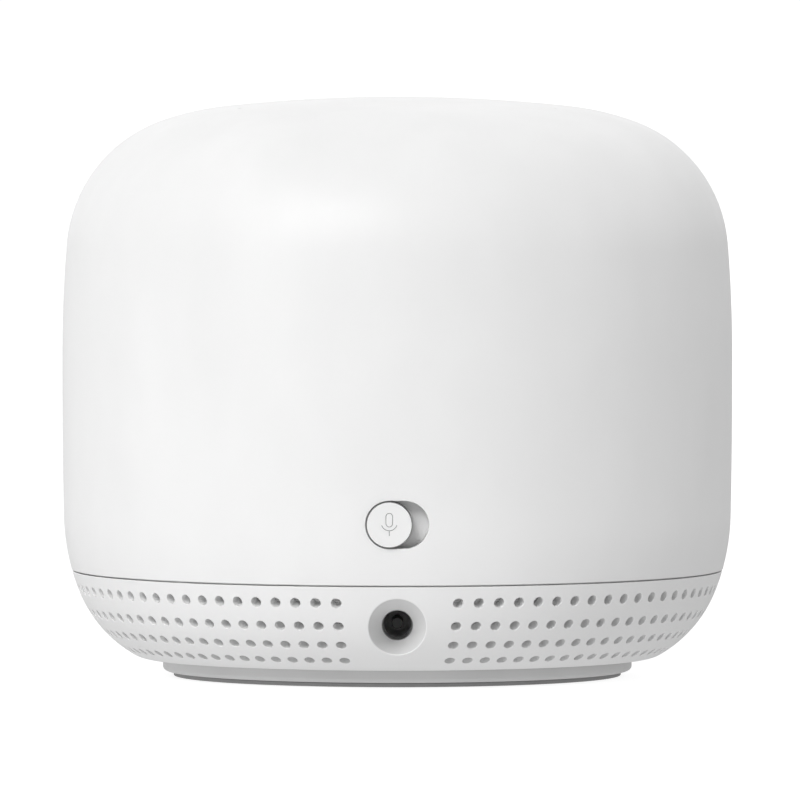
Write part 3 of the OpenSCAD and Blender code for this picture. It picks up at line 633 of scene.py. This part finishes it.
def finish_cad_nodes(materials):
    """Gives each carried-over CAD node its slot's material; contacts in the jack look dark."""
    for part in frame["record"]["subparts"]:
        node = frame["nodes"][part["node"]]
        dark = part["node"] == "jack_contacts"
        material = materials["dark_contact" if dark else part["material_slot"]]
        if not node.material_slots:
            node.data.materials.append(material)
        for slot in node.material_slots:
            slot.material = material


def fit(piece, body, node):
    """The piece rides on a body and stands in for a CAD node, which it hides."""
    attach(piece, body)
    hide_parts(node)


# ---------------------------------------------------------------- the base casing
def inlet_ring(depth, drop, radius, angles):
    """One ring of the slanting funnel, as in the CAD model."""
    a = np.radians(angles)
    rise = drop + radius * np.sin(a)
    return np.stack([radius * np.cos(a), depth - math.tan(math.radians(INLET_TILT)) * rise,
                     INLET_Z + rise], axis=-1)


def sound_hole(skin, ids, inner, azimuths, rows, window, azimuth, s):
    """One drilled hole with a soft rim and a straight wall."""
    angles = np.radians(corner_angles(CELL, CELL))
    axis = place(azimuth, s)[1]
    r = float(np.interp(s, LINE_S, LINE_R))
    east = round_z(azimuth + 90)
    up = np.cross(axis, east)
    away = np.cos(angles)[:, None] * east + np.sin(angles)[:, None] * up

    def circle(extra, *_):
        k = HOLE_R + extra
        return azimuth + np.degrees(k * np.cos(angles) / r), s - k * np.sin(angles)

    loop, corner = opening(skin, ids, azimuths, rows, window, circle, HOLE_EDGE,
                           lambda c: -axis, lambda c: -away, 1)
    end = skin.add(corner - axis * BASE_WALL, -away)
    # The hole's wall takes the second material: painted shade, a little darker than the casing.
    skin.bridge(loop, end, 1)
    skin.bridge(end, window_ring(inner, azimuths, rows, window)[0])


def inlet(skin, ids, inner, azimuths, rows, window):
    """The funnel round the power inlet, down to the bore in front of the socket."""
    across, down = window[1] - window[0], window[3] - window[2]
    angles = corner_angles(across, down)
    far = inlet_ring(INLET_HOLE_Y, 0, INLET_R, angles)
    flat_rim = inlet_ring(INLET_RIM_Y, INLET_DROP, INLET_RIM_R, angles)
    away = np.stack([np.cos(np.radians(angles)), 0 * angles, np.sin(np.radians(angles))], axis=-1)
    tangent = normed(np.roll(far, -1, axis=0) - np.roll(far, 1, axis=0))
    down_cone = normed(far - flat_rim)
    cone_normal = normed(np.cross(tangent, down_cone))
    cone_normal *= np.sign(np.sum(cone_normal * -away, axis=1))[:, None]

    def rim(extra, *_):
        p = inlet_ring(INLET_RIM_Y, INLET_DROP, INLET_RIM_R + extra, angles)
        return front(p[:, 0], p[:, 2])

    bowl, bore = 2, 3
    rim_edge, bore_edge, collar, bands = 0.12, 0.16, 3.6, 10
    loop, corner = opening(skin, ids, azimuths, rows, window, rim, rim_edge,
                           lambda c: down_cone, lambda c: cone_normal, 6)
    start, stop = corner + down_cone * 0.25, far - down_cone * bore_edge
    # The cone takes the third material, painted darker than the casing: painted shade in the
    # funnel.
    for t in np.linspace(0.08, 1, bands):
        band = skin.add(start + (stop - start) * t, cone_normal)
        skin.bridge(loop, band, bowl)
        loop = band
    back = np.tile([0.0, 1.0, 0.0], (len(angles), 1))
    # The bore's rounded edge and wall take the fourth material, dark grey: painted shade in the
    # bore.
    loop = skin.edge(loop, far, down_cone, back, cone_normal, -away, bore_edge, paint=bore)
    deep = far.copy()
    deep[:, 1] = JACK_LOW.y
    end = skin.add(deep, -away)
    skin.bridge(loop, end, bore)
    face = skin.strip(deep, deep + away * collar, back)
    skin.bridge(face, window_ring(inner, azimuths, rows, window)[0])


def base_casing(materials):
    """The perforated bowl with its funnel, the lip inside the seam and the flange below."""
    rows_s = [s_at_slope(-a) for a in ROW_SLOPES]
    middles = [(a + b) / 2 for a, b in zip(rows_s, rows_s[1:])]
    seam = float(s_at_height(SEAM_BOTTOM))
    margin_above, margin_below = 1.85, 1.7
    first, last = rows_s[0] - margin_above, rows_s[-1] + margin_below
    rows = spans(seam + EDGE, 2, first, CELL, middles[0], CELL, middles[1], CELL, middles[2],
                 CELL, last, 10, LINE_S[-1])
    gap = FIRST_HOLE - HOLE_STEP / 2
    azimuths = spans(-90 + gap, HOLES * CELL, 270 - gap, 4 * CELL, 270 + gap)[:-1]
    holes = [(i * CELL, (i + 1) * CELL, 2 + j * CELL, 2 + (j + 1) * CELL)
             for i in range(HOLES) for j in range(HOLE_ROWS)]
    mouth = (HOLES * CELL, HOLES * CELL + 4 * CELL, 2, 2 + HOLE_ROWS * CELL)
    skin = Skin()
    ids = skin.grid(azimuths, rows, 0.0, holes + [mouth])
    inner = skin.grid(azimuths, rows, BASE_WALL, holes + [mouth])
    for k, window in enumerate(holes):
        sound_hole(skin, ids, inner, azimuths, rows, window,
                   -90 + FIRST_HOLE + (k // HOLE_ROWS) * HOLE_STEP, rows_s[k % HOLE_ROWS])
    inlet(skin, ids, inner, azimuths, rows, mouth)
    out = round_z(azimuths)
    up = np.tile([0.0, 0.0, 1.0], (len(azimuths), 1))
    corner, n0 = place(azimuths, seam)
    lead, _ = place(azimuths, seam + EDGE)
    loop = skin.edge(ids[:, 0], corner, normed(corner - lead), -out, n0, up, EDGE)
    ledge = skin.add(ring(STEP_R, SEAM_BOTTOM, azimuths), up)
    skin.bridge(loop, ledge)
    turns = [(STEP_R, SEAM_BOTTOM), (STEP_R, STEP_Z), (LIP_R, STEP_Z), (LIP_R, LIP_TOP),
             (LIP_R - LIP_WALL, LIP_TOP), (LIP_R - LIP_WALL, LIP_FOOT)]
    for (r0, z0), (r1, z1), n in zip(turns, turns[1:], (out, up, out, up, -out)):
        end = skin.strip(ring(r0, z0, azimuths), ring(r1, z1, azimuths), n)
    skin.bridge(end, inner[:, 0])
    corner = ring(RIM_R, RIM_Z, azimuths)
    lead = place(azimuths, LINE_S[-1])[0]
    slide, n0 = normed(corner - lead), place(azimuths, LINE_S[-1])[1]
    loop = skin.add(corner - slide * RIM_EDGE, n0)
    skin.bridge(ids[:, -1], loop)
    loop = skin.edge(loop, corner, slide, up, n0, -out, RIM_EDGE)
    top = skin.add(ring(RIM_R, FLANGE_Z, azimuths), -out)
    skin.bridge(loop, top)
    turns = [(RIM_R, FLANGE_Z), (FLANGE_BORE_R, FLANGE_Z), (FLANGE_BORE_R, FLANGE_TOP),
             (FLANGE_R, FLANGE_TOP)]
    for (r0, z0), (r1, z1), n in zip(turns, turns[1:], (-up, -out, up)):
        end = skin.strip(ring(r0, z0, azimuths), ring(r1, z1, azimuths), n)
    skin.bridge(end, inner[:, -1])
    piece = skin.make("base_casing", materials["casing_base"], materials["hole_grey"],
                      materials["funnel_white"], materials["bore_dark"])
    fit(piece, "casing", "base_shell")


# ---------------------------------------------------------------- the upper casing
def stadium(extra, x, z):
    """Nearest points of the slider's slot, widened a little, to points given from the front."""
    core = np.clip(x, -(SLOT_W - SLOT_H) / 2, (SLOT_W - SLOT_H) / 2)
    way = normed(np.stack([x - core, z - SLOT_Z], axis=-1))
    return core + (SLOT_H / 2 + extra) * way[:, 0], SLOT_Z + (SLOT_H / 2 + extra) * way[:, 1], way


def mic_hole(skin, ids, inner, azimuths, rows, window, azimuth, s):
    """One upright microphone hole through the crown."""
    angles = np.radians(corner_angles(CELL, CELL))
    down = np.tile([0.0, 0.0, -1.0], (len(angles), 1))

    def circle(extra, *_):
        k = MIC_R + extra
        around = np.degrees(k * np.cos(angles) / math.hypot(MIC_X, MIC_Y))
        return azimuth + around, s - k * np.sin(angles)

    def towards_axis(c):
        flat = c - c.mean(axis=0)
        flat[:, 2] = 0
        return -normed(flat)

    loop, corner = opening(skin, ids, azimuths, rows, window, circle, MIC_EDGE,
                           lambda c: down, towards_axis, 2)
    end = skin.add(corner + down * TOP_WALL, towards_axis(corner))
    skin.bridge(loop, end)
    skin.bridge(end, window_ring(inner, azimuths, rows, window)[0])


def slider_slot(skin, ids, inner, azimuths, rows, window):
    """The slot that the slider's knob runs in, down to the pocket behind it."""
    loop, az, s = window_ring(ids, azimuths, rows, window)
    edge_p = place(az, s)[0]
    way = stadium(0, edge_p[:, 0], edge_p[:, 2])[2]
    away = np.stack([way[:, 0], 0 * way[:, 0], way[:, 1]], axis=-1)
    back = np.tile([0.0, 1.0, 0.0], (len(az), 1))

    def slot_shape(extra, az, s):
        p = place(az, s)[0]
        x, z, _ = stadium(extra, p[:, 0], p[:, 2])
        return front(x, z)

    loop, corner = opening(skin, ids, azimuths, rows, window, slot_shape, SLOT_EDGE,
                           lambda c: back, lambda c: -away, 5)
    deep = corner.copy()
    deep[:, 1] = POCKET_Y
    end = skin.add(deep, -away)
    skin.bridge(loop, end)
    skin.bridge(end, window_ring(inner, azimuths, rows, window)[0])


def pocket(points):
    """Flattens the inside of the wall round the slot."""
    inside = (np.abs(points[:, 0]) < POCKET_W) & (points[:, 1] < 0) & (
        np.abs(points[:, 2] - SLOT_Z) < POCKET_H)
    points[inside, 1] = np.minimum(points[inside, 1], POCKET_Y)
    return points


def top_casing(materials):
    """The plain upper casing with the slider's slot and two microphone holes."""
    seam = float(s_at_height(SEAM_TOP))
    mic_s = s_at_radius(math.hypot(MIC_X, MIC_Y))
    mic_a = math.degrees(math.atan2(MIC_Y, MIC_X))
    mic_w = math.degrees(1.0 / math.hypot(MIC_X, MIC_Y))
    slot_a, slot_h = 10.0, 6.4
    slot_top, slot_low = (float(s_at_height(SLOT_Z + d)) for d in (slot_h, -slot_h))
    azimuths = spans(-90 - slot_a, 32, -90 + slot_a, 38, mic_a - mic_w, CELL, mic_a + mic_w, 144,
                     180 - mic_a - mic_w, CELL, 180 - mic_a + mic_w, 38, 270 - slot_a)[:-1]
    rows = spans(0.0, 16, mic_s - 1, CELL, mic_s + 1, 46, slot_top, 24, slot_low, 4, seam - EDGE)
    mics = [(nearest(azimuths, a - mic_w), nearest(azimuths, a + mic_w),
             nearest(rows, mic_s - 1), nearest(rows, mic_s + 1))
            for a in (mic_a, 180 - mic_a)]
    slot = (0, 32, nearest(rows, slot_top), nearest(rows, slot_low))
    skin = Skin()
    ids = skin.grid(azimuths, rows, 0.0, mics + [slot])
    inner = skin.grid(azimuths, rows, TOP_WALL, mics + [slot], pocket)
    for window, azimuth in zip(mics, (mic_a, 180 - mic_a)):
        mic_hole(skin, ids, inner, azimuths, rows, window, azimuth, mic_s)
    slider_slot(skin, ids, inner, azimuths, rows, slot)
    out = round_z(azimuths)
    under = np.tile([0.0, 0.0, -1.0], (len(azimuths), 1))
    corner, n0 = place(azimuths, seam)
    lead, _ = place(azimuths, seam - EDGE)
    loop = skin.edge(ids[:, -1], corner, normed(corner - lead), -out, n0, under, EDGE)
    skin.bridge(loop, inner[:, -1])
    piece = skin.make("top_casing", materials["casing_white"])
    fit(piece, "casing", "top_shell")


# ---------------------------------------------------------------- turned parts
def turned(name, profile, material, segments=288, axis="z", centre=(0, 0, 0), rounding=0.15):
    """A hollow part turned on an axis from a closed profile, each corner slightly rounded."""
    skin = Skin()
    azimuths = np.arange(segments) * 360 / segments
    flat = [np.array(p, float) for p in profile]
    after = flat[1:] + flat[:1]
    turn = 1 if sum(a[0] * b[1] - b[0] * a[1] for a, b in zip(flat, after)) > 0 else -1
    sides = []
    for a, b in zip(flat, after):
        length = np.linalg.norm(b - a)
        along = (b - a) / length
        sides.append((a, length, along, np.array([along[1], -along[0]]) * turn))
    rings = []
    most = 2.2  # a rounding takes a side's length divided by this, or less
    for k, (a, length, along, normal) in enumerate(sides):
        _, last_length, before, last_normal = sides[k - 1]
        size = min(rounding, length / most, last_length / most)
        for t in np.linspace(0, 1, 5):
            p = (1 - t) ** 2 * (a - before * size) + 2 * t * (1 - t) * a + t * t * (
                a + along * size)
            m = normed((1 - t) * last_normal + t * normal)
            rings.append(skin.add(ring(p[0], p[1], azimuths),
                                  round_z(azimuths) * (m[0], m[0], 0) + (0, 0, m[1])))
    for k in range(len(rings)):
        skin.bridge(rings[k - 1], rings[k])
    if axis == "y":
        for values in (skin.points, skin.normals):
            values[:] = [np.array([p[0], p[2], p[1]]) for p in values]
    skin.points = [p + np.array(centre, float) for p in skin.points]
    return skin.make(name, material)


def light_guide(materials):
    """The translucent ring between the bowl and the foot."""
    bore, flat, r, low, high = 33.0, 34.2, LIGHT_HIGH.x, LIGHT_LOW.z, LIGHT_HIGH.z
    piece = turned("light_guide_ring",
                   [(bore, high), (bore, low), (flat, low), (r - 0.7, low + 0.05),
                    (r - 0.25, low + 0.25), (r, low + 0.6), (r, high)],
                   materials["light_guide"], rounding=0.14)
    fit(piece, "casing", "light_ring")


def foot(materials):
    """The flat rubber ring that the object stands on."""
    bore, shoulder, r, z, step = 21.0, 32.8, FOOT_HIGH.x, FOOT_HIGH.z, 0.6
    piece = turned("foot_ring", [(bore, z), (bore, 0.0), (r, 0.0), (r, step), (shoulder, step),
                                 (shoulder, z)], materials["foot_rubber"], rounding=0.12)
    fit(piece, "casing", "foot_pad")


def spider(materials):
    """Corrugated cloth disc that centres the voice coil."""
    low, high = corners("speaker_spider")
    inner, outer, waves, cloth = 6.7, high.x, 5, 0.3
    r = np.linspace(inner, outer, 4 * waves + 1)
    z = (low.z + high.z - cloth) / 2 - (high.z - low.z - cloth) / 2 * np.cos(
        2 * math.pi * waves * (r - inner) / (outer - inner))
    under, over = list(zip(r, z)), list(zip(r, z + cloth))
    piece = turned("speaker_spider_cloth", under + over[::-1], materials["spider_cloth"], 96,
                   rounding=0.08)
    fit(piece, "casing", "speaker_spider")
    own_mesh(piece)


# ---------------------------------------------------------------- mute slider
def sign_depth(x, z, line=0.14, depth=0.1):
    """Depth of the engraved generic microphone sign at points from the knob's centre."""
    w, h, up, cradle, low, tip = 1.15, 2.2, 0.74, 1.22, 0.345, -0.08
    core = np.clip(z - up, -(h - w) / 2, (h - w) / 2)
    capsule = np.abs(np.hypot(x, z - up - core) - (w - line) / 2)
    half = math.sqrt(cradle ** 2 - (low - tip) ** 2)
    arc = np.where(z < tip, np.abs(np.hypot(x, z - low) - cradle),
                   np.hypot(np.abs(x) - half, z - tip))
    stem = np.hypot(x, z - np.clip(z, -1.6, low - cradle))
    inside = line / 2 - np.minimum(np.minimum(capsule, arc), stem)
    t = np.clip((inside + 0.01) / 0.05, 0, 1)
    return depth * t * t * (3 - 2 * t)


def knob(materials):
    """The slider's round cap, with the sign sunk in its face, painted shade on its side and a neck
    behind.
    """
    centre = np.array([(KNOB_LOW.x + KNOB_HIGH.x) / 2, 0, SLOT_Z])
    r, face, back, plate = (KNOB_HIGH.x - KNOB_LOW.x) / 2, KNOB_LOW.y, KNOB_HIGH.y, -47.92
    rounding, neck, turns, count = 0.26, 1.2, 112, 400
    sign, shade_paint, painted_shade_rings = 1, 2, 4
    a = np.arange(count) * 2 * math.pi / count
    out = np.stack([np.cos(a), 0 * a, np.sin(a)], axis=-1)
    ahead, behind = np.array([0.0, -1.0, 0.0]), np.array([0.0, 1.0, 0.0])
    skin = Skin()
    loop = None
    for radius in np.linspace(0.002, r - rounding, turns):
        x, z, step = radius * np.cos(a), radius * np.sin(a), 0.008
        point = centre + radius * out
        point[:, 1] = face + sign_depth(x, z)
        slope_x = (sign_depth(x + step, z) - sign_depth(x - step, z)) / (2 * step)
        slope_z = (sign_depth(x, z + step) - sign_depth(x, z - step)) / (2 * step)
        new_ring = skin.add(point, normed(np.stack([slope_x, 0 * x - 1, slope_z], axis=-1)))
        if loop is not None:
            sunk = sign_depth(x, z) > 0.05
            for i in range(count):
                j = (i + 1) % count
                skin.faces.append((loop[i], loop[j], new_ring[j], new_ring[i]))
                skin.paints.append(sign if sunk[i] else 0)
        else:
            skin.cap(new_ring, centre * (1, 0, 1) + (0, face, 0), ahead)
        loop = new_ring

    def circle(radius, y):
        point = centre + radius * out
        point[:, 1] = y
        return point

    loop = skin.edge(loop, circle(r, face), out, behind, ahead, out, rounding, 6)
    # The outer rings of the rounding and the side wall down to the plate are painted dark grey:
    # painted shade in the gap round the knob.
    skin.paints[-painted_shade_rings * count:] = [shade_paint] * (painted_shade_rings * count)
    side = skin.add(circle(r, plate), out)
    skin.bridge(loop, side, shade_paint)
    skin.strip(circle(r, plate), circle(neck, plate), behind)
    end = skin.strip(circle(neck, plate), circle(neck, back), out)
    skin.cap(skin.add(np.array(skin.points)[end], behind), centre * (1, 0, 1) + (0, back, 0),
             behind)
    piece = skin.make("mute_knob_cap", materials["knob_white"], materials["knob_sign"],
                      materials["knob_side"])
    fit(piece, "mute_slider", "mute_knob")


# ---------------------------------------------------------------- power socket
def socket(materials):
    """Body of the power jack behind the funnel: a lipped barrel with a stepped bore."""
    front_y, back_y, r = JACK_LOW.y, JACK_HIGH.y, JACK_HIGH.x
    bore, throat, pin_hole, waist = 2.05, 1.5, 0.82, JACK_HIGH.x - 0.25
    piece = turned("socket_barrel",
                   [(bore, front_y), (r, front_y), (r, front_y + 1.2), (waist, front_y + 1.4),
                    (waist, back_y), (pin_hole, back_y), (pin_hole, back_y - 2.4),
                    (throat, back_y - 2.6), (bore, back_y - 3.6)],
                   materials["socket_lip"], 160, "y", (0, 0, INLET_Z), 0.12)
    piece.data.materials.append(materials["socket_inside"])
    for face in piece.data.polygons:
        x, y, z = face.center / MM
        inside = math.hypot(x, z - INLET_Z) < bore + 0.02 and y > front_y + 0.2
        face.material_index = int(inside)
    fit(piece, "casing", "dc_jack")


# ---------------------------------------------------------------- stage
def studio():
    """Soft light from all round with a key and a fill; the camera sees plain white behind."""
    white, seen_level = (1, 1, 1, 1), 1.05
    world = bpy.data.worlds.new("studio")
    bpy.context.scene.world = world
    world.use_nodes = True
    tree = world.node_tree
    tree.nodes.clear()
    coords = new(tree, "TexCoord")
    axes = new(tree, "SeparateXYZ")
    tree.links.new(coords.outputs["Generated"], axes.inputs[0])

    def maths(kind, a, b=0.0):
        node = new(tree, "Math", operation=kind)
        for value, socket_in in zip((a, b), node.inputs):
            if isinstance(value, (int, float)):
                socket_in.default_value = value
            else:
                tree.links.new(value, socket_in)
        return node.outputs[0]

    def gradient(level, lean):
        dot = new(tree, "VectorMath", operation="DOT_PRODUCT")
        dot.inputs[1].default_value = lean
        tree.links.new(coords.outputs["Generated"], dot.inputs[0])
        return maths("ADD", dot.outputs["Value"], level)

    side = maths("MAXIMUM", maths("SUBTRACT", axes.outputs["X"], FILL_EDGE))
    fill = maths("MULTIPLY", maths("MULTIPLY", side, side), FILL_LEVEL)
    above = maths("ADD", gradient(*SKY_LIGHT), fill)
    key = maths("GREATER_THAN", gradient(0.0, KEY_WAY), math.cos(math.radians(KEY_HALF)))
    above = maths("ADD", above, maths("MULTIPLY", key, KEY_LEVEL))
    upper = maths("GREATER_THAN", axes.outputs["Z"])
    below = maths("MULTIPLY", gradient(*FLOOR_LIGHT), maths("SUBTRACT", 1.0, upper))
    level = maths("ADD", maths("MULTIPLY", above, upper), below)
    around, seen = new(tree, "Background"), new(tree, "Background")
    tree.links.new(level, around.inputs["Strength"])
    for node in (around, seen):
        node.inputs["Color"].default_value = white
    seen.inputs["Strength"].default_value = seen_level
    path = new(tree, "LightPath")
    mix = new(tree, "MixShader")
    tree.links.new(path.outputs["Is Camera Ray"], mix.inputs[0])
    tree.links.new(around.outputs[0], mix.inputs[1])
    tree.links.new(seen.outputs[0], mix.inputs[2])
    tree.links.new(mix.outputs[0], new(tree, "OutputWorld").inputs["Surface"])


def floor():
    """White paper that the camera sees; the light from below is part of the studio's."""
    half, drop, glow = 3.0, 0.0001, 0.84
    mesh = bpy.data.meshes.new("studio_floor")
    mesh.from_pydata([(-half, -half, 0), (half, -half, 0), (half, half, 0), (-half, half, 0)],
                     [], [(0, 1, 2, 3)])
    mat, _, shader = node_material("floor_paper", (0.25, 0.25, 0.25), 0.9)
    shader.inputs["Emission Color"].default_value = (1, 1, 1, 1)
    shader.inputs["Emission Strength"].default_value = glow
    mesh.materials.append(mat)
    item = bpy.data.objects.new("studio_floor", mesh)
    item.location.z = -drop
    item.visible_diffuse = item.visible_glossy = item.visible_shadow = False
    bpy.context.scene.collection.objects.link(item)


def camera():
    """Long lens almost level with the object, its axis through the foot's light and crown."""
    distance, rise, aim_z = 4.0, math.radians(2.6), 0.0419
    data = bpy.data.cameras.new("camera")
    data.lens, data.sensor_width, data.shift_x, data.clip_end = 1182, 36, 0.0034, 50
    item = bpy.data.objects.new("camera", data)
    item.location = (0, -distance * math.cos(rise), aim_z + distance * math.sin(rise))
    aim = Vector((0, 0, aim_z))
    item.rotation_euler = (aim - item.location).to_track_quat("-Z", "Y").to_euler()
    bpy.context.scene.collection.objects.link(item)
    bpy.context.scene.camera = item
    bpy.context.scene.view_settings.view_transform = "Standard"


camera()
materials = make_materials()
finish_cad_nodes(materials)
for build in (top_casing, base_casing, light_guide, foot, knob, socket, spider):
    build(materials)
floor()
studio()
